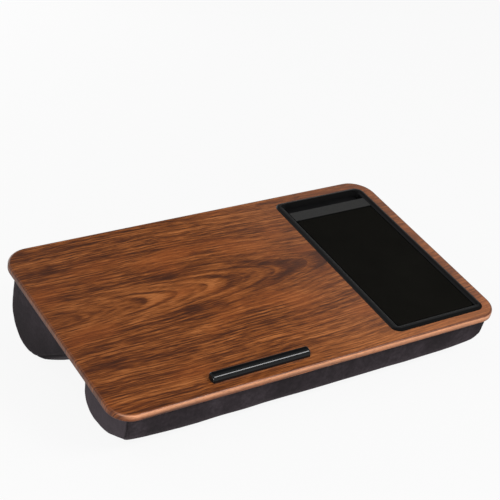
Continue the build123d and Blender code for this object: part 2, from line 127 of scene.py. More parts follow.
# ---------------------------------------------------------------- scales of the finishes
LOG_HEART = (-460.0 * MM, 15.0 * MM)     # where the walnut's arches close, in the board's axes
ARCH_FLATNESS = 0.085                    # how steeply the arches close
GRAIN_DRIFT = 30.0 * MM                  # how far the grain wanders slowly
GRAIN_RIPPLE = 6.0 * MM                  # and ripples on the way
GROWTH_RINGS = 250.0                     # in a metre across the arches
PAD_WARP = 7800.0                        # the mouse pad's knit, in radians in a metre
PAD_WEFT = 9200.0
CLOTH_WEAVE = 6400.0                     # the bolsters' ground weave, likewise

# ---------------------------------------------------------------- view and light
CAMERA_PLACE = (-838.3 * MM, -1020.0 * MM, 974.7 * MM)      # in the board's axes
CAMERA_TARGET = (28.175 * MM, 60.64 * MM, 0.0)
CAMERA_ROLL = math.radians(-12.125)
CAMERA_LENS = 97.65
CAMERA_SENSOR = 36.0
FLOOR_REACH = 12.0
FLOOR_GREYS = (0.44, 0.47)
FLOOR_GLOW = 0.91                        # share of the floor's look that no shadow reaches
SKY_LEVELS = ((0.0, 0.95), (0.2, 0.9), (0.5, 0.6), (0.8, 0.65), (1.0, 0.75))
DIM_DIRECTION = (0.40, 0.55, 0.733)     # what the board's face mirrors towards the camera
DIM_LEVELS = ((0.0, 1.0), (0.72, 1.0), (0.93, 0.45), (0.985, 0.1), (1.0, 0.08))
LAMPS = (                                # name, place, target, width, height, power
    ("key", (0.95, -1.35, 1.5), (0.0, -0.05, 0.05), 1.1, 0.4, 32.0),
    ("low_left", (-0.85, -0.72, 0.24), (-0.26, -0.16, 0.03), 0.3, 0.3, 7.0),
    ("rear_fill", (-0.25, 1.7, 0.55), (0.0, 0.1, 0.04), 1.2, 0.5, 12.0))


# ================================================================ shader kit
def srgb(red, green, blue):
    """Linear colour from 0 to 255 screen values."""
    def linear(channel):
        share = channel / 255.0
        return share / 12.92 if share <= 0.04045 else ((share + 0.055) / 1.055) ** 2.4
    return (linear(red), linear(green), linear(blue))


def set_stops(ramp, stops):
    """Gives a colour ramp its (place, colour) stops."""
    while len(ramp.elements) < len(stops):
        ramp.elements.new(0.5)
    for element, (place, colour) in zip(ramp.elements, stops):
        element.position = place
        element.color = (*colour, 1.0)


class Value:
    """A number on its way through a finish; arithmetic on it adds Math nodes."""

    def __init__(self, finish, socket):
        self.finish = finish
        self.socket = socket

    def __add__(self, other):
        return self.finish.math("ADD", self, other)

    def __radd__(self, other):
        return self.finish.math("ADD", other, self)

    def __sub__(self, other):
        return self.finish.math("SUBTRACT", self, other)

    def __rsub__(self, other):
        return self.finish.math("SUBTRACT", other, self)

    def __mul__(self, other):
        return self.finish.math("MULTIPLY", self, other)

    def __rmul__(self, other):
        return self.finish.math("MULTIPLY", other, self)

    def __pow__(self, other):
        return self.finish.math("POWER", self, other)

    def __abs__(self):
        return self.finish.math("ABSOLUTE", self)

    def step(self, low, high):
        """Smooth step from 0 at low to 1 at high."""
        return self.finish.one("ShaderNodeMapRange", {"interpolation_type": "SMOOTHSTEP"},
                               {"Value": self, "From Min": low, "From Max": high})


class Finish:
    """A material under construction."""

    def __init__(self, name, **fixed):
        self.material = bpy.data.materials.new(name)
        self.material.use_nodes = True
        self.tree = self.material.node_tree
        self.skin = self.tree.nodes["Principled BSDF"]
        for socket, value in fixed.items():
            self.skin.inputs[socket.replace("_", " ")].default_value = value

    def node(self, kind, settings=None, inputs=None):
        """Adds a node: its settings first, then the values or links of its sockets."""
        made = self.tree.nodes.new(kind)
        for key, value in (settings or {}).items():
            if key == "stops":
                set_stops(made.color_ramp, value)
            else:
                setattr(made, key, value)
        for key, value in (inputs or {}).items():
            self.feed(made.inputs[key], value)
        return made

    def one(self, kind, settings=None, inputs=None, output=0):
        """Adds a node and gives one of its outputs."""
        return Value(self, self.node(kind, settings, inputs).outputs[output])

    def feed(self, socket, value):
        """Links a value into a socket, or sets the socket to a plain number or colour."""
        if isinstance(value, Value):
            self.tree.links.new(value.socket, socket)
        elif hasattr(value, "__len__") and len(socket.default_value) > len(value):
            socket.default_value = (*value, 1.0)
        else:
            socket.default_value = value

    def math(self, operation, *values):
        """One Math node."""
        return self.one("ShaderNodeMath", {"operation": operation}, dict(enumerate(values)))

    def object_point(self):
        """Place on the piece, in metres along the row frame's axes."""
        return self.one("ShaderNodeTexCoord", output="Object")

    def board_point(self):
        """Place on the piece, in metres along the board's own axes."""
        return self.one("ShaderNodeMapping", {"vector_type": "TEXTURE"}, {
            "Vector": self.object_point(), "Location": tuple(BOARD.to_translation()),
            "Rotation": (BOARD_TILT, 0.0, 0.0)})

    def facing(self):
        """Which way the surface faces, along the row frame's axes."""
        return self.one("ShaderNodeTexCoord", output="Normal")

    def cloth_point(self):
        """Place on the flat cloth that a piece was cut from, in metres."""
        return self.one("ShaderNodeUVMap", {"uv_map": CLOTH_MAP})

    def scaled(self, point, *factors):
        """A point with each of its axes multiplied by a factor."""
        return self.one("ShaderNodeVectorMath", {"operation": "MULTIPLY"}, {0: point, 1: factors})

    def split(self, point):
        """The three numbers of a point."""
        made = self.node("ShaderNodeSeparateXYZ", inputs={"Vector": point})
        return [Value(self, output) for output in made.outputs]

    def join(self, x, y, z=0.0):
        """A point from three numbers."""
        return self.one("ShaderNodeCombineXYZ", inputs={0: x, 1: y, 2: z})

    def noise(self, point, scale=1.0, detail=2.0, roughness=0.5, distortion=0.0):
        """Soft random value from 0 to 1."""
        return self.one("ShaderNodeTexNoise", {"noise_dimensions": "3D"}, {
            "Vector": point, "Scale": scale, "Detail": detail, "Roughness": roughness,
            "Distortion": distortion})

    def cells(self, point, scale, randomness=1.0):
        """Distance to the middle of the nearest of many scattered cells."""
        return self.one("ShaderNodeTexVoronoi", {"feature": "F1"}, {
            "Vector": point, "Scale": scale, "Randomness": randomness}, "Distance")

    def ramp(self, value, *colours):
        """Colour that follows a value from 0 to 1 through evenly spaced colours."""
        stops = [(index / (len(colours) - 1), colour) for index, colour in enumerate(colours)]
        return self.one("ShaderNodeValToRGB", {"stops": stops}, {"Fac": value})

    def blend(self, mask, low, high):
        """Colour low where the mask is 0 and high where it is 1."""
        return self.one("ShaderNodeMix", {"data_type": "RGBA", "blend_type": "MIX"},
                        {0: mask, 6: low, 7: high}, output=2)

    def bump(self, height, distance, strength=1.0):
        """Normal that follows a height, which runs from 0 to 1 over the given distance."""
        return self.one("ShaderNodeBump", inputs={
            "Height": height, "Distance": distance, "Strength": strength}, output="Normal")

    def done(self, **surface):
        """Feeds what changes over the surface, and gives the finished material."""
        for socket, value in surface.items():
            self.feed(self.skin.inputs[socket.replace("_", " ")], value)
        return self.material


# ================================================================ finishes
def walnut_figure(wood, x, across):
    """Long growth lines that arch slowly round the log's heart, with fibres along them.

    Gives the figure's tone, its fibres, and each point's place across the wavy grain."""
    drift = wood.noise(wood.join(x * 2.4, across * 4.5), detail=1.0) - 0.5
    ripple = wood.noise(wood.join(x * 16.0, across * 30.0, 3.0), detail=3.0, roughness=0.6) - 0.5
    line = across + drift * GRAIN_DRIFT + ripple * GRAIN_RIPPLE
    heart_x, heart_y = LOG_HEART
    arch = ((line - heart_y) ** 2 + ((x - heart_x) * ARCH_FLATNESS) ** 2) ** 0.5
    zone = wood.noise(wood.join(arch * 30.0, x * 1.6, 1.0), detail=1.0)
    band = wood.noise(wood.join(arch * 115.0, x * 3.0, 2.0), detail=1.0)
    thin = wood.noise(wood.join(arch * 480.0, x * 15.0, 4.0), detail=1.0)
    fibre = wood.noise(wood.join(line * 1000.0, x * 55.0, 6.0), detail=1.0)
    growth = wood.math("FRACT", arch * GROWTH_RINGS + band * 2.5)
    late = growth.step(0.35, 0.9) * (1.0 - growth.step(0.94, 1.0)) * band.step(0.3, 0.7)
    tone = zone * 0.22 + band * 0.20 + thin * 0.30 + fibre * 0.28 - late * 0.08
    return tone, fibre, line


def walnut_finish():
    """Satin walnut-grain foil with darker zones and short pores, and painted light and shade: a
    painted highlight along the front edge with a painted line of shade above it, painted shade on the
    side edges and at the left, painted light at the front right, and a painted pale reflection
    greying the right.
    """
    wood = Finish("walnut", Specular_IOR_Level=0.17, Coat_Roughness=0.2)
    x, y, z = wood.split(wood.board_point())
    lean = wood.facing()
    sideways, forward, _ = wood.split(lean)
    tone, fibre, line = walnut_figure(wood, x, y + z * abs(forward))
    base = wood.ramp(
        tone.step(0.34, 0.61),
        srgb(46, 21, 9), srgb(72, 34, 13), srgb(101, 53, 20),
        srgb(129, 72, 31), srgb(160, 97, 51))
    warm = wood.noise(wood.join(x * 9.0, line * 20.0, 5.0), detail=2.0)
    base = wood.blend(warm.step(0.48, 0.72) * 0.45, base, srgb(140, 72, 28))
    # the foil's face: greyer to the right, partly its own tone and partly a painted pale reflection;
    # painted shade at the left and painted light at the front right
    base = wood.blend(x.step(-60.0 * MM, 270.0 * MM) * 0.34, base, srgb(124, 92, 80))
    # painted shade, darker at the left
    left_shade = 1.0 - x.step(-260.0 * MM, -50.0 * MM)
    base = wood.blend(left_shade * 0.16, base, srgb(58, 24, 5))
    # painted light, paler at the front right
    front_right_light = (1.0 - y.step(-150.0 * MM, -105.0 * MM)) * x.step(-40.0 * MM, 120.0 * MM)
    base = wood.blend(front_right_light * 0.15, base, srgb(204, 122, 56))
    # the turned edges: a painted highlight on the front one, a painted line of shade above it, and
    # painted shade on the sides, darkest low down
    up = wood.one("ShaderNodeVectorMath", {"operation": "DOT_PRODUCT"}, {
        0: lean, 1: tuple(BOARD.to_3x3() @ Vector((0, 0, 1)))}, output="Value")
    flank = abs(sideways).step(0.2, 0.8)
    left = 1.0 - x.step(-160.0 * MM, 150.0 * MM)
    turned = up.step(-0.6, -0.1) * (1.0 - flank) * (1.0 - (up - left * 0.2).step(0.35, 0.8))
    edge_highlight = turned * (z - left * (1.2 * MM)).step(-9.5 * MM, -1.5 * MM)
    base = wood.blend(edge_highlight * (0.48 + fibre * 0.42), base, srgb(219, 156, 118))
    # painted line of shade above the front edge's highlight
    brow = up.step(0.45, 0.8) * (1.0 - up.step(0.98, 0.999)) * (1.0 - left * 0.6)
    base = wood.blend(brow * 0.75, base, srgb(72, 28, 4))
    # painted shade on the side edges, darker low down
    under = flank * (0.60 - z.step(-9.0 * MM, -4.0 * MM) * 0.32)
    base = wood.blend(under, base, srgb(50, 25, 14))
    # open pores
    pore_field = wood.noise(wood.join(x * 150.0, line * 2900.0, 7.0), detail=1.0)
    pores = pore_field.step(0.58, 0.68) * (1.0 - tone.step(0.4, 0.7) * 0.5)
    base = wood.blend(pores * 0.6, base, srgb(46, 22, 11))
    relief = 1.0 - pores * 0.8 + fibre * 0.3
    return wood.done(
        Base_Color=base, Coat_Weight=0.12 + up.step(0.94, 0.995) * 0.26,
        Roughness=0.5 - tone * 0.16 + pores * 0.15,
        Normal=wood.bump(relief, 0.04 * MM, 0.4))


def fibreboard_finish():
    """Raw medium-density fibreboard, seen round the lining."""
    board = Finish("fibreboard", Specular_IOR_Level=0.25)
    p = board.board_point()
    fibres = board.noise(board.scaled(p, 1.0, 1.0, 4.0), 900.0, 4.0, 0.7)
    clouds = board.noise(p, 35.0, 3.0)
    tone = fibres * 0.7 + clouds * 0.3
    base = board.ramp(tone.step(0.3, 0.7), srgb(120, 88, 58), srgb(176, 140, 100))
    return board.done(Base_Color=base, Roughness=0.85 + fibres * 0.1,
                      Normal=board.bump(fibres, 0.15 * MM, 0.6))


def lining_finish():
    """Black bonded felt with rows of small pressed dots."""
    felt = Finish("lining", Specular_IOR_Level=0.15, Sheen_Weight=0.25, Sheen_Roughness=0.5)
    p = felt.board_point()
    dots = felt.cells(p, 420.0, randomness=0.15).step(0.18, 0.42)
    hairs = felt.noise(p, 2600.0, 4.0, 0.75, 1.5)
    tone = hairs * 0.75 + dots * 0.25
    base = felt.ramp(tone.step(0.3, 0.75), srgb(14, 14, 15), srgb(44, 43, 45))
    return felt.done(Base_Color=base, Roughness=0.92 - dots * 0.12,
                     Normal=felt.bump(dots * 0.6 + hairs * 0.5, 0.25 * MM, 0.7))


def tray_finish():
    """Black moulded plastic: glossy bead and trough, and a finely eroded top on the crossbar; with a
    painted reflection on the bead's top, and painted shade on the right side and on front-facing
    slopes, which are also rougher.
    """
    shell = Finish("tray_plastic", Specular_IOR_Level=0.15)
    p = shell.board_point()
    x, y, z = shell.split(p)
    front, rear = CROSSBAR_Y
    margin = 0.7 * MM
    band = y.step(front, front + margin) * (1.0 - y.step(rear - margin, rear))
    inside = 1.0 - abs(x - CROSSBAR_X).step(CROSSBAR_HALF - margin, CROSSBAR_HALF)
    eroded = band * inside * z.step(-0.4 * MM, 0.2 * MM)
    forward = shell.split(shell.facing())[1]
    # front-facing slopes: painted shade on them, near black, and a rougher surface
    facing_paint_share = (0.0 - forward).step(0.08, 0.4)
    grain = shell.noise(p, 2400.0, 2.0, 0.6)
    cloud = shell.noise(p, 22.0, 3.0)
    scuff = shell.noise(shell.scaled(p, 60.0, 340.0, 340.0), 1.0, 4.0, 0.65)
    bead_top = z.step(1.6 * MM, 1.95 * MM)
    far_side = (x - CROSSBAR_X).step(CROSSBAR_HALF, CROSSBAR_HALF + 5.0 * MM)
    polished = shell.ramp(cloud.step(0.3, 0.7), srgb(9, 9, 10), srgb(15, 15, 16))
    # painted reflection, lighter, on the bead's top
    polished = shell.blend(bead_top * 0.9, polished, srgb(27, 27, 27))
    # painted shade, near black, on the tray's right side and on front-facing slopes
    polished = shell.blend(shell.math("MAXIMUM", far_side, facing_paint_share), polished, srgb(3, 3, 3))
    satin = shell.ramp(grain.step(0.3, 0.7), srgb(31, 31, 31), srgb(48, 48, 47))
    rough = 0.27 + cloud * 0.06 + scuff.step(0.5, 0.8) * 0.10 + eroded * 0.3 + facing_paint_share * 0.7
    return shell.done(Base_Color=shell.blend(eroded, polished, satin), Roughness=rough,
                      Normal=shell.bump(grain, 0.03 * MM, 0.12 + eroded * 0.5))


def pad_cloth_finish():
    """Tightly knitted black polyester of the mouse pad."""
    knit = Finish("pad_cloth", Specular_IOR_Level=0.02)
    p = knit.board_point()
    x, y, _ = knit.split(p)
    sway = knit.noise(p, 60.0, 2.0) * 0.6
    warp = knit.math("SINE", x * PAD_WARP + sway)
    weft = knit.math("SINE", y * PAD_WEFT + sway)
    weave = (warp * weft) * 0.5 + 0.5
    fuzz = knit.noise(p, 1900.0, 3.0, 0.7)
    wear = knit.noise(p, 14.0, 3.0, 0.6)
    tone = weave * 0.35 + fuzz * 0.45 + wear * 0.2
    base = knit.ramp(tone.step(0.25, 0.75), srgb(5, 5, 4), srgb(20, 19, 16))
    return knit.done(Base_Color=base, Roughness=0.9 - wear * 0.08,
                     Normal=knit.bump(weave * 0.6 + fuzz * 0.4, 0.12 * MM, 0.5))


def pad_rubber_finish():
    """Cut edge of the pad's foam rubber, with painted shade in its cells' hollows."""
    rubber = Finish("pad_rubber", Specular_IOR_Level=0.25)
    p = rubber.object_point()
    cells = rubber.cells(p, 1500.0).step(0.1, 0.6)
    # painted shade, darker in the cells' hollows
    base = rubber.ramp(cells, srgb(12, 12, 12), srgb(26, 26, 26))
    return rubber.done(Base_Color=base, Roughness=0.88 - cells * 0.06,
                       Normal=rubber.bump(cells, 0.1 * MM, 0.5))


def ledge_finish():
    """Polished black plastic with faint handling marks."""
    gloss = Finish("ledge_plastic", Specular_IOR_Level=0.2)
    p = gloss.board_point()
    smear = gloss.noise(gloss.scaled(p, 30.0, 220.0, 220.0), 1.0, 4.0, 0.6)
    ripple = gloss.noise(p, 90.0, 1.0)
    base = gloss.ramp(smear, srgb(7, 8, 9), srgb(13, 14, 15))
    return gloss.done(Base_Color=base, Roughness=0.09 + smear.step(0.45, 0.8) * 0.08,
                      Normal=gloss.bump(ripple, 0.06 * MM, 0.3))


def bolster_finish():
    """Charcoal brush-finished microfibre: short nap laid in soft patches over a fine weave, with
    painted shade in the end seams and low on the rear bolster, and painted light on the front
    bolster's ends.
    """
    suede = Finish("bolster_cloth", Specular_IOR_Level=0.1, Sheen_Weight=0.12,
                   Sheen_Roughness=0.4, Sheen_Tint=(*srgb(150, 135, 142), 1.0))
    p = suede.cloth_point()
    u, v, _ = suede.split(p)
    nap = suede.noise(suede.scaled(p, 22.0, 14.0, 1.0), 1.0, 4.0, 0.6, 0.6)
    strokes = suede.noise(suede.scaled(p, 210.0, 170.0, 1.0), 1.0, 3.0, 0.6)
    fibre = suede.noise(suede.scaled(p, 1400.0, 2300.0, 1.0), 1.0, 3.0, 0.7)
    warp = suede.math("SINE", u * CLOTH_WEAVE)
    weft = suede.math("SINE", v * CLOTH_WEAVE)
    weave = warp * weft * 0.5 + 0.5
    tone = nap * 0.42 + strokes * 0.24 + fibre * 0.24 + weave * 0.10
    base = suede.ramp(tone.step(0.32, 0.68), srgb(20, 17, 19), srgb(36, 31, 34),
                      srgb(56, 50, 54))
    shaded = srgb(14, 12, 13)
    # painted shade at the bottom of the end seams' creases
    fold = suede.one("ShaderNodeAttribute", {"attribute_name": SEAM_SHADE}, output="Fac")
    base = suede.blend(fold * 0.75, base, shaded)
    behind = suede.split(suede.board_point())[1].step(-32.0 * MM, -14.0 * MM)
    # painted light on the front bolster's ends, which face sideways
    sideways = suede.split(suede.facing())[0]
    facing_paint_share = abs(sideways).step(0.6, 0.95) * (1.0 - behind)
    base = suede.blend(facing_paint_share * 0.3, base, srgb(76, 69, 74))
    # painted shade, darker low down on the rear bolster
    low_down = 1.0 - suede.split(suede.object_point())[2].step(10.0 * MM, 85.0 * MM)
    base = suede.blend(behind * low_down * 0.75, base, shaded)
    return suede.done(Base_Color=base, Roughness=0.86 + nap * 0.1,
                      Normal=suede.bump(fibre * 0.55 + weave * 0.25 + strokes * 0.4, 0.22 * MM, 0.6))


def thread_finish():
    """Twisted dark sewing thread."""
    thread = Finish("thread", Specular_IOR_Level=0.3)
    p = thread.object_point()
    twist = thread.noise(p, 3500.0, 1.0)
    base = thread.ramp(twist, srgb(18, 16, 17), srgb(38, 34, 36))
    return thread.done(Base_Color=base, Roughness=0.7 - twist * 0.1,
                       Normal=thread.bump(twist, 0.05 * MM))


def steel_finish(name, tint):
    """Zinc-plated wire or screw steel."""
    steel = Finish(name, Metallic=1.0)
    p = steel.object_point()
    scuff = steel.noise(steel.scaled(p, 900.0, 900.0, 3200.0), 1.0, 3.0, 0.6)
    base = steel.ramp(scuff, tuple(0.75 * part for part in tint), tint)
    return steel.done(Base_Color=base, Roughness=0.28 + scuff * 0.2,
                      Normal=steel.bump(scuff, 0.03 * MM, 0.5))


def hardboard_finish():
    """Brown pressed hardboard of the bolsters' closing panels."""
    panel = Finish("hardboard", Specular_IOR_Level=0.3)
    p = panel.board_point()
    flakes = panel.noise(p, 420.0, 5.0, 0.75)
    base = panel.ramp(flakes.step(0.3, 0.7), srgb(74, 50, 34), srgb(118, 84, 58))
    return panel.done(Base_Color=base, Roughness=0.75 + flakes * 0.15,
                      Normal=panel.bump(flakes, 0.12 * MM, 0.5))


def bead_finish():
    """White polystyrene beads of the filling, with painted shade towards each bead's rim."""
    beads = Finish("bead_fill", Specular_IOR_Level=0.3)
    p = beads.object_point()
    balls = beads.cells(p, 420.0)
    # painted shade, darker towards each bead's rim
    base = beads.ramp(balls, srgb(238, 238, 234), srgb(178, 178, 172))
    return beads.done(Base_Color=base, Roughness=0.7 + balls * 0.2,
                      Normal=beads.bump(1.0 - balls, 1.0 * MM, 0.8))


# ================================================================ the board's own axes
def board_axes(foil):
    """Matrix from the board's axes to the row frame, measured on the foil at rest."""
    turn = Matrix.Rotation(BOARD_TILT, 4, "X")
    level = np.array([turn.inverted() @ v.co for v in foil.data.vertices])
    low, high = level.min(0), level.max(0)
    middle = Vector(((low[0] + high[0]) / 2, (low[1] + high[1]) / 2, high[2]))
    return Matrix.Translation(turn @ middle) @ turn


def dress(names, finish):
    """Gives CAD nodes their finish."""
    for name in names:
        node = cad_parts[name]
        node.data.materials.clear()
        node.data.materials.append(finish)


# ================================================================ bolsters
def corner_rounding(before, corner, after, radius):
    """Where a rounding leaves the first wall, its centre, and how far it turns."""
    arriving = (corner - before).normalized()
    leaving = (after - corner).normalized()
    turn = arriving.angle_signed(leaving)
    reach = radius * math.tan(abs(turn) / 2)
    start = corner - arriving * reach
    inward = Vector((arriving.y, -arriving.x)) * math.copysign(1.0, turn)
    return start, start + inward * radius, turn


def wall_crossing(one, other):
    """Point where two walls cross; a wall is a point and a direction."""
    (p, d), (q, e) = one, other
    cross = d.x * e.y - d.y * e.x
    along = ((q.x - p.x) * e.y - (q.y - p.y) * e.x) / cross
    return p + d * along


def section_outline(size, share, inset, counts=None):
    """Closed outline of a bolster in the board's YZ plane, with this share of its end taper.

    It is drawn in from the skin by inset, along every wall but the top.
    It runs from the top's front corner over the top, down the rear wall, along the floor and
    up the slanting front. Without counts it also finds how many points each stretch takes."""
    def floor(y):
        return -FLOOR_DROP - y * math.tan(BOARD_TILT)

    toe_y = size.front_y + size.toe_setback + share * size.toe_draw
    drop = size.shoulder_drop - share * size.shoulder_lift
    corners = [
        Vector((size.front_y, LINING_UNDERSIDE)), Vector((size.rear_y, LINING_UNDERSIDE)),
        Vector((size.rear_y, floor(size.rear_y))), Vector((toe_y, floor(toe_y))),
        Vector((size.front_y, LINING_UNDERSIDE - drop))]
    radii = [TOP_FOLD_RADIUS, TOP_FOLD_RADIUS, size.heel_radius - inset,
             size.toe_radius - inset, size.shoulder_radius - inset]
    walls = []
    for index, corner in enumerate(corners):
        along = (corners[(index + 1) % 5] - corner).normalized()
        drawn = 0.0 if index == 0 else inset
        walls.append((corner + Vector((along.y, -along.x)) * drawn, along))
    sharp = [wall_crossing(walls[index - 1], walls[index]) for index in range(5)]
    roundings = [corner_rounding(sharp[i - 1], sharp[i], sharp[(i + 1) % 5], radii[i])
                 for i in range(5)]
    if counts is None:
        counts = []
        for i, (start, centre, turn) in enumerate(roundings):
            end = turned_about(start, centre, turn)
            arc = abs(turn) * radii[i]
            wall = (roundings[(i + 1) % 5][0] - end).length
            counts.append((max(3, round(arc / RING_SPACING)), max(1, round(wall / RING_SPACING))))
    points = []
    for i, (start, centre, turn) in enumerate(roundings):
        arc_count, wall_count = counts[i]
        points += [turned_about(start, centre, turn * k / arc_count) for k in range(arc_count)]
        end = turned_about(start, centre, turn)
        to = roundings[(i + 1) % 5][0]
        points += [end.lerp(to, k / wall_count) for k in range(wall_count)]
    return points, counts


def turned_about(point, centre, angle):
    """A point of the plane, turned about a centre."""
    arm = point - centre
    c, s = math.cos(angle), math.sin(angle)
    return centre + Vector((arm.x * c + arm.y * s, -arm.x * s + arm.y * c))


def bowed(ring):
    """The outline with its slanting front swollen out, between the toe and the shoulder."""
    along = np.roll(ring, -1, 0) - np.roll(ring, 1, 0)
    along /= np.linalg.norm(along, axis=1, keepdims=True)
    rise = np.arctan2(along[:, 1], -along[:, 0]) - BOARD_TILT
    share = np.clip(rise / (math.pi / 2 - BOARD_TILT), 0.0, 1.0)
    swell = FRONT_SWELL * np.sin(math.pi * share) ** 2
    return ring + np.column_stack([-along[:, 1], along[:, 0]]) * swell[:, None]


def half_stations(size):
    """(x, taper share, inset) of the rings from a bolster's middle to the flat of its right end."""
    start = SEAM_X - size.taper_length
    steps = round(start / STATION_SPACING)
    rings = [(start * k / steps, 0.0, 0.0) for k in range(steps)]
    for angle in map(math.radians, TAPER_ANGLES):
        rings.append((SEAM_X - size.taper_length * (1 - math.sin(angle)), 1 - math.cos(angle), 0.0))
    for angle in map(math.radians, CAP_ANGLES):
        drawn = END_BULGE_EDGE * (1 - math.cos(angle))
        rings.append((SEAM_X + END_BULGE * math.sin(angle), 1.0, drawn))
    return rings


def bolster_rings(size):
    """Rings of points from the left end panel's middle to the right one's, in the board's axes.

    Also gives each ring's distance from the nearer end seam along the cloth, negative on the
    end panels, and the middle ring's outline."""
    base, counts = section_outline(size, 0.0, 0.0)
    right = half_stations(size)
    seam = len(right) - 1 - len(CAP_ANGLES)
    rings, distances = [], []
    for index, (x, share, inset) in enumerate(right):
        outline, _ = section_outline(size, share, inset, counts)
        lean = math.tan(size.end_lean * share * (2.0 - share))
        ring = bowed(np.array([(p.x, p.y) for p in outline]))
        rings.append(np.array([(x - lean * (LINING_UNDERSIDE - z), y, z) for y, z in ring]))
        beyond = END_BULGE_EDGE * (index - seam) / len(CAP_ANGLES)
        distances.append(SEAM_X - x if index <= seam else -beyond)
    rim = rings[-1]
    middle = rim.mean(0)
    for share in CAP_RINGS:
        crown = np.array((END_CROWN * (1 - share ** 2), 0, 0))
        rings.append(middle + (rim - middle) * share + crown)
        distances.append(-END_BULGE_EDGE - (1 - share) * CAP_REACH)
    mirror = np.array((-1.0, 1.0, 1.0))
    rings = [ring * mirror for ring in reversed(rings[1:])] + rings
    distances = list(reversed(distances[1:])) + distances
    return np.array(rings), np.array(distances), np.array([(p.x, p.y) for p in base])


def bolster_mesh(size, rings, distances, base):
    """The bolster's skin as one closed mesh in the row frame, with a flat-cloth map."""
    ring_count, around, _ = rings.shape
    poles = [rings[end].mean(0) + (side * END_CROWN * CAP_RINGS[-1] ** 2, 0, 0)
             for end, side in ((0, -1), (-1, 1))]
    points = np.concatenate([rings.reshape(-1, 3), poles])
    first_pole, last_pole = ring_count * around, ring_count * around + 1
    outline = np.concatenate([base, base[:1]])
    lengths = np.linalg.norm(np.diff(outline, axis=0), axis=1)
    around_map = np.concatenate([[0.0], np.cumsum(lengths)])
    along_map = np.concatenate([[0.0], np.cumsum(np.abs(np.diff(distances)))])
    faces, cloth = [], []

    def on_panel(point):
        return (point[1] + math.copysign(1.0, point[0]), point[2])

    for r in range(ring_count - 1):
        panel = max(distances[r], distances[r + 1]) < SAME_PLACE
        for k in range(around):
            n = (k + 1) % around
            corners = ((r, k, k), (r + 1, k, k), (r + 1, n, k + 1), (r, n, k + 1))
            faces.append([ring * around + index for ring, index, _ in corners])
            for ring, index, place in corners:
                cloth.append(on_panel(rings[ring, index]) if panel
                             else (along_map[ring], around_map[place]))
    last = ring_count - 1
    for k in range(around):
        n = (k + 1) % around
        faces.append([first_pole, k, n])
        cloth += [on_panel(point) for point in (poles[0], rings[0, k], rings[0, n])]
        faces.append([last_pole, last * around + n, last * around + k])
        cloth += [on_panel(point) for point in (poles[1], rings[last, n], rings[last, k])]
    mesh = bpy.data.meshes.new(size.name)
    mesh.from_pydata([BOARD @ Vector(p) for p in points], [], faces)
    cloth_map = mesh.uv_layers.new(name=CLOTH_MAP)
    cloth_map.data.foreach_set("uv", np.array(cloth, np.float32).ravel())
    mesh.polygons.foreach_set("use_smooth", [True] * len(mesh.polygons))
    return mesh


def linked(name, data):
    """New object in the scene."""
    made = bpy.data.objects.new(name, data)
    bpy.context.scene.collection.objects.link(made)
    return made


def points_of(mesh):
    """The mesh's points as an array."""
    flat = np.empty(len(mesh.vertices) * 3, np.float32)
    mesh.vertices.foreach_get("co", flat)
    return flat.reshape(-1, 3).astype(float)


def normals_of(mesh):
    """The mesh's point normals as an array."""
    flat = np.empty(len(mesh.vertices) * 3, np.float32)
    mesh.vertex_normals.foreach_get("vector", flat)
    return flat.reshape(-1, 3).astype(float)


def set_points(mesh, points):
    """Moves the mesh's points."""
    mesh.vertices.foreach_set("co", points.astype(np.float32).ravel())
    mesh.update()


def shade_seams(mesh, from_seam):
    """Marks the cloth that lies at the bottom of the end seams, for the painted shade in its finish.
    """
    shade = np.exp(-(from_seam / SEAM_SHADE_WIDTH) ** 2)
    layer = mesh.attributes.new(SEAM_SHADE, "FLOAT", "POINT")
    layer.data.foreach_set("value", shade.astype(np.float32))


def on_board_axes(points):
    """Points of the row frame, in the board's axes."""
    back = np.array(BOARD.inverted())
    return points @ back[:3, :3].T + back[:3, 3]


def held_share(points):
    """How firmly the cloth is held at each point: 1 under the board and at the end seams."""
    level = on_board_axes(points)
    below = (LINING_UNDERSIDE - level[:, 2]) / TOP_HOLD
    from_seam = np.abs(np.abs(level[:, 0]) - SEAM_X) / SEAM_HOLD
    return np.clip(FULL_HOLD - np.minimum(below, from_seam), 0.0, 1.0)


def swelling(piece):
    """Lets a slightly smaller copy of the piece swell as filled cloth.

    Gives the copy's points before, and how far each of them moved."""
    copy = linked(piece.name + "_try", piece.data.copy())
    set_points(copy.data, points_of(copy.data) - normals_of(copy.data) * SIM_INSET)
    even = copy.modifiers.new("even", "REMESH")
    even.mode = "VOXEL"
    even.voxel_size = SIM_VOXEL
    graph = bpy.context.evaluated_depsgraph_get()
    remeshed = bpy.data.meshes.new_from_object(copy.evaluated_get(graph))
    copy.modifiers.remove(even)
    copy.data = remeshed
    before = points_of(remeshed)
    group = copy.vertex_groups.new(name="held")
    for index, share in enumerate(held_share(before)):
        group.add([index], float(share), "REPLACE")
    cloth = copy.modifiers.new("cloth", "CLOTH")
    for key, value in CLOTH_SETTINGS.items():
        setattr(cloth.settings, key, value)
    cloth.settings.vertex_group_mass = "held"
    cloth.settings.effector_weights.gravity = 0.0
    cloth.collision_settings.use_collision = False
    cloth.point_cache.frame_start, cloth.point_cache.frame_end = 1, SIM_FRAMES
    for frame_number in range(1, SIM_FRAMES + 1):
        bpy.context.scene.frame_set(frame_number)
    graph = bpy.context.evaluated_depsgraph_get()
    swollen = bpy.data.meshes.new_from_object(copy.evaluated_get(graph))
    moved = points_of(swollen) - before
    bpy.data.objects.remove(copy)
    bpy.context.scene.frame_set(1)
    return before, moved


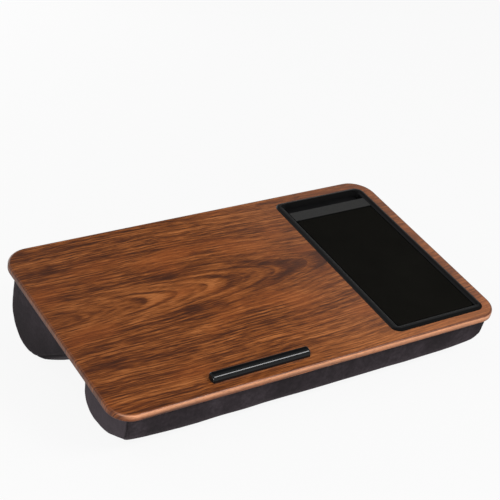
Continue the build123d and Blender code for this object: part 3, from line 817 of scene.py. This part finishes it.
def spread_move(points, before, moved):
    """The movement of a coarse mesh's points, carried over to other points near them."""
    tree = kdtree.KDTree(len(before))
    for index, point in enumerate(before):
        tree.insert(point, index)
    tree.balance()
    carried = np.zeros_like(points)
    for index, point in enumerate(points):
        near = tree.find_n(point, NEAR_POINTS)
        weights = np.array([math.exp(-(found[2] / SIM_VOXEL) ** 2) + 1e-9 for found in near])
        carried[index] = weights @ moved[[found[1] for found in near]] / weights.sum()
    return carried


def evened(move, around, passes):
    """The movement averaged with its neighbours' along and round the bolster."""
    grid = move[:-2].reshape(-1, around, 3)
    for _ in range(passes):
        longer = np.concatenate([grid[:1], grid, grid[-1:]])
        grid = grid * 0.4 + 0.15 * (
            longer[:-2] + longer[2:] + np.roll(grid, 1, 1) + np.roll(grid, -1, 1))
    return np.concatenate([grid.reshape(-1, 3), move[-2:]])


def fill_out(piece, around):
    """Gives the piece the swollen shape of filled cloth, within SWELL_LIMIT."""
    points, normals = points_of(piece.data), normals_of(piece.data)
    before, moved = swelling(piece)
    move = spread_move(points - normals * SIM_INSET, before, moved) - normals * SIM_INSET
    length = np.linalg.norm(move, axis=1, keepdims=True)
    move *= np.minimum(1.0, SWELL_LIMIT / np.maximum(length, 1e-9))
    ripples = evened(move, around, RIPPLE_PASSES)
    move = (ripples - evened(ripples, around, FORM_PASSES)) * (1.0 - held_share(points))[:, None]
    set_points(piece.data, points + move)


def settle(piece, distances, around):
    """Slow unevenness of the stuffing, the end seams' crease and puckers, and flat contacts."""
    mesh = piece.data
    points, normals = points_of(mesh), normals_of(mesh)
    loose = 1.0 - held_share(points)
    depth = (LINING_UNDERSIDE - on_board_axes(points)[:, 2]) / TOP_HOLD
    below_top = np.clip(depth - CREASE_START, 0.0, 1.0)
    rows = np.repeat(distances, around)
    from_seam = np.concatenate([rows, [distances[0], distances[-1]]])
    sink = np.zeros(len(points))
    for index, point in enumerate(points):
        slack = noise.noise(Vector(point) / SLACK_SIZE) * SLACK_DEPTH * loose[index]
        d = from_seam[index]
        if abs(d) < 4 * PUCKER_REACH:
            gather = 0.5 + noise.noise(Vector(point) / PUCKER_PITCH)
            pucker = PUCKER_DEPTH * gather * math.exp(-abs(d) / PUCKER_REACH)
            crease = SEAM_DEPTH * math.exp(-(d / SEAM_WIDTH) ** 2)
            slack -= (pucker + crease) * below_top[index]
        sink[index] = slack
    points += normals * sink[:, None]
    level = on_board_axes(points)
    level[:, 2] = np.minimum(level[:, 2], LINING_UNDERSIDE - CONTACT_GAP)
    matrix = np.array(BOARD)
    points = level @ matrix[:3, :3].T + matrix[:3, 3]
    points[:, 2] = np.maximum(points[:, 2], 0.0)
    set_points(mesh, points)
    shade_seams(mesh, from_seam)


def seam_paths(points, distances, around):
    """The visible runs of both end seams, as lists of points."""
    paths = []
    for row in np.where(np.abs(distances) < SAME_PLACE)[0]:
        ring = points[row * around:(row + 1) * around]
        below_top = on_board_axes(ring)[:, 2] < LINING_UNDERSIDE - STITCH_TOP_GAP
        shown = below_top & (ring[:, 2] > STITCH_FLOOR_GAP)
        start = int(np.argmin(shown))
        run = []
        for k in range(around + 1):
            index = (start + k) % around
            if shown[index]:
                run.append(ring[index])
            elif run:
                paths.append(run)
                run = []
    return [run for run in paths if len(run) > 2]


def stitch_rows():
    """Node tree that lays a stitch at each pitch along its curve."""
    tree = bpy.data.node_groups.new("stitch_rows", "GeometryNodeTree")
    sockets = tree.interface
    sockets.new_socket("Geometry", in_out="INPUT", socket_type="NodeSocketGeometry")
    for name, value in (("Pitch", STITCH_PITCH), ("Stitch length", STITCH_LENGTH),
                        ("Thread radius", THREAD_RADIUS)):
        socket = sockets.new_socket(name, in_out="INPUT", socket_type="NodeSocketFloat")
        socket.default_value = value
    sockets.new_socket("Thread", in_out="INPUT", socket_type="NodeSocketMaterial")
    sockets.new_socket("Geometry", in_out="OUTPUT", socket_type="NodeSocketGeometry")

    def add(kind, settings=None, inputs=None):
        """Adds a node with its settings and sockets, and gives its first output."""
        node = tree.nodes.new(kind)
        for key, value in (settings or {}).items():
            setattr(node, key, value)
        for key, value in (inputs or {}).items():
            if isinstance(value, bpy.types.NodeSocket):
                tree.links.new(value, node.inputs[key])
            else:
                node.inputs[key].default_value = value
        return node.outputs[0]

    given = tree.nodes.new("NodeGroupInput").outputs
    places = add("GeometryNodeResampleCurve", {"mode": "LENGTH"},
                 {"Curve": given["Geometry"], "Length": given["Pitch"]})
    turn = add("FunctionNodeAlignRotationToVector", {"axis": "X"},
               {"Vector": add("GeometryNodeInputTangent")})
    ball = add("GeometryNodeMeshIcoSphere", inputs={"Radius": 0.5, "Subdivisions": 1})
    width = add("ShaderNodeMath", {"operation": "MULTIPLY"}, {0: given["Thread radius"], 1: 2.0})
    size = add("ShaderNodeCombineXYZ", inputs={0: given["Stitch length"], 1: width, 2: width})
    laid = add("GeometryNodeInstanceOnPoints", inputs={
        "Points": places, "Instance": ball, "Rotation": turn, "Scale": size})
    real = add("GeometryNodeRealizeInstances", inputs={"Geometry": laid})
    smooth = add("GeometryNodeSetShadeSmooth", inputs={"Geometry": real})
    finished = add("GeometryNodeSetMaterial", inputs={
        "Geometry": smooth, "Material": given["Thread"]})
    tree.links.new(finished, tree.nodes.new("NodeGroupOutput").inputs[0])
    return tree


def stitches(name, paths, tree, thread):
    """Stitches along the given paths, as one plain mesh."""
    curve = bpy.data.curves.new(name + "_path", "CURVE")
    curve.dimensions = "3D"
    for path in paths:
        spline = curve.splines.new("POLY")
        spline.points.add(len(path) - 1)
        places = np.array([(*point, 1.0) for point in path], np.float32)
        spline.points.foreach_set("co", places.ravel())
    guide = linked(name + "_path", curve)
    modifier = guide.modifiers.new("stitches", "NODES")
    modifier.node_group = tree
    inputs = {item.name: item.identifier
              for item in tree.interface.items_tree if item.in_out == "INPUT"}
    modifier[inputs["Thread"]] = thread
    graph = bpy.context.evaluated_depsgraph_get()
    mesh = bpy.data.meshes.new_from_object(guide.evaluated_get(graph))
    bpy.data.objects.remove(guide)
    return linked(name, mesh)


def add_bolster(size, cloth, tree, thread):
    """One stuffed bolster with its end seams, riding on the desk."""
    rings, distances, base = bolster_rings(size)
    around = rings.shape[1]
    piece = linked(size.name, bolster_mesh(size, rings, distances, base))
    fill_out(piece, around)
    settle(piece, distances, around)
    piece.data.materials.append(cloth)
    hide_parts(*[size.name + part for part in ("_cover", "_left_end", "_right_end", "_fill")])
    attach(piece, "root")
    seam = stitches(size.name + "_stitches", seam_paths(points_of(piece.data), distances, around),
                    tree, thread)
    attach(seam, "root")


# ================================================================ stage
def add_camera():
    """Camera high above the desk's front left corner."""
    place, target = Vector(CAMERA_PLACE), Vector(CAMERA_TARGET)
    forward = (target - place).normalized()
    right = forward.cross(Vector((0, 0, 1))).normalized()
    down = forward.cross(right)
    c, s = math.cos(CAMERA_ROLL), math.sin(CAMERA_ROLL)
    rolled_right = right * c + down * s
    rolled_down = down * c - right * s
    turn = Matrix((rolled_right, -rolled_down, -forward)).transposed()
    data = bpy.data.cameras.new("camera")
    data.lens = CAMERA_LENS
    data.sensor_width = CAMERA_SENSOR
    camera = linked("camera", data)
    camera.matrix_world = BOARD @ (Matrix.Translation(place) @ turn.to_4x4())
    bpy.context.scene.camera = camera


def add_lamp(name, place, target, width, height, power):
    """Soft rectangular lamp that faces a target."""
    data = bpy.data.lights.new(name, "AREA")
    data.shape = "RECTANGLE"
    data.size, data.size_y = width, height
    data.energy = power
    lamp = linked(name, data)
    lamp.location = place
    lamp.rotation_euler = (Vector(place) - Vector(target)).to_track_quat("Z", "Y").to_euler()


def add_floor():
    """Wide pale floor that keeps the desk's shadow."""
    mesh = bpy.data.meshes.new("floor")
    corners = [(x * FLOOR_REACH, y * FLOOR_REACH, 0) for x, y in ((-1, -1), (1, -1), (1, 1), (-1, 1))]
    mesh.from_pydata(corners, [], [(0, 1, 2, 3)])
    floor = linked("floor", mesh)
    paint = Finish("floor", Specular_IOR_Level=0.1, Roughness=0.9)
    tone = paint.noise(paint.object_point(), 3.0, 2.0)
    paint.done(Base_Color=paint.ramp(tone, *[(grey,) * 3 for grey in FLOOR_GREYS]))
    looks = paint.node("ShaderNodeLightPath").outputs
    seen = [Value(paint, looks[kind]) for kind in
            ("Is Camera Ray", "Is Glossy Ray", "Is Transmission Ray")]
    direct = paint.math("MAXIMUM", paint.math("MAXIMUM", seen[0], seen[1]), seen[2])
    glow = paint.node("ShaderNodeEmission", inputs={"Color": (1.0, 1.0, 1.0), "Strength": 1.0})
    mixed = paint.node("ShaderNodeMixShader", inputs={0: direct * FLOOR_GLOW})
    paint.tree.links.new(paint.skin.outputs[0], mixed.inputs[1])
    paint.tree.links.new(glow.outputs[0], mixed.inputs[2])
    paint.tree.links.new(mixed.outputs[0], paint.tree.nodes["Material Output"].inputs["Surface"])
    mesh.materials.append(paint.material)


def add_world():
    """Pale studio surroundings: white low down, dimmer overhead, dimmest behind on the right."""
    world = bpy.data.worlds.new("studio")
    bpy.context.scene.world = world
    world.use_nodes = True
    nodes, links = world.node_tree.nodes, world.node_tree.links
    direction = nodes.new("ShaderNodeTexCoord").outputs["Generated"]

    def level_ramp(value, stops):
        ramp = nodes.new("ShaderNodeValToRGB")
        set_stops(ramp.color_ramp, [(place, (level,) * 3) for place, level in stops])
        links.new(value, ramp.inputs[0])
        return ramp.outputs[0]

    parts = nodes.new("ShaderNodeSeparateXYZ")
    links.new(direction, parts.inputs[0])
    toward = nodes.new("ShaderNodeVectorMath")
    toward.operation = "DOT_PRODUCT"
    links.new(direction, toward.inputs[0])
    toward.inputs[1].default_value = DIM_DIRECTION
    by_height = level_ramp(parts.outputs[2], SKY_LEVELS)
    by_side = level_ramp(toward.outputs["Value"], DIM_LEVELS)
    both = nodes.new("ShaderNodeMix")
    both.data_type, both.blend_type = "RGBA", "MULTIPLY"
    both.inputs[0].default_value = 1.0
    links.new(by_height, both.inputs[6])
    links.new(by_side, both.inputs[7])
    links.new(both.outputs[2], nodes["Background"].inputs[0])


# ================================================================ assembly
BOARD = board_axes(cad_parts["walnut_foil"])
FLOOR_DROP = BOARD.to_translation().z / math.cos(BOARD_TILT)

dress(["walnut_foil"], walnut_finish())
dress(["board_core"], fibreboard_finish())
dress(["underside_lining"], lining_finish())
dress(["tray_frame"], tray_finish())
dress(["mouse_pad_cloth"], pad_cloth_finish())
dress(["mouse_pad_base"], pad_rubber_finish())
dress(["device_ledge"], ledge_finish())
dress(["tray_screws", "ledge_screws"], steel_finish("screw_steel", (0.62, 0.62, 0.64)))
dress(["front_bolster_staples", "rear_bolster_staples"],
      steel_finish("staple_wire", (0.7, 0.69, 0.66)))
dress(["front_bolster_panel", "rear_bolster_panel"], hardboard_finish())
dress(["front_bolster_fill", "rear_bolster_fill"], bead_finish())
suede, thread = bolster_finish(), thread_finish()
stitch_tree = stitch_rows()
for bolster_size in (FRONT_BOLSTER, REAR_BOLSTER):
    dress([bolster_size.name + part for part in ("_cover", "_left_end", "_right_end")], suede)
    add_bolster(bolster_size, suede, stitch_tree, thread)

add_floor()
add_world()
for lamp in LAMPS:
    add_lamp(*lamp)
add_camera()
bpy.context.scene.view_settings.view_transform = "Standard"
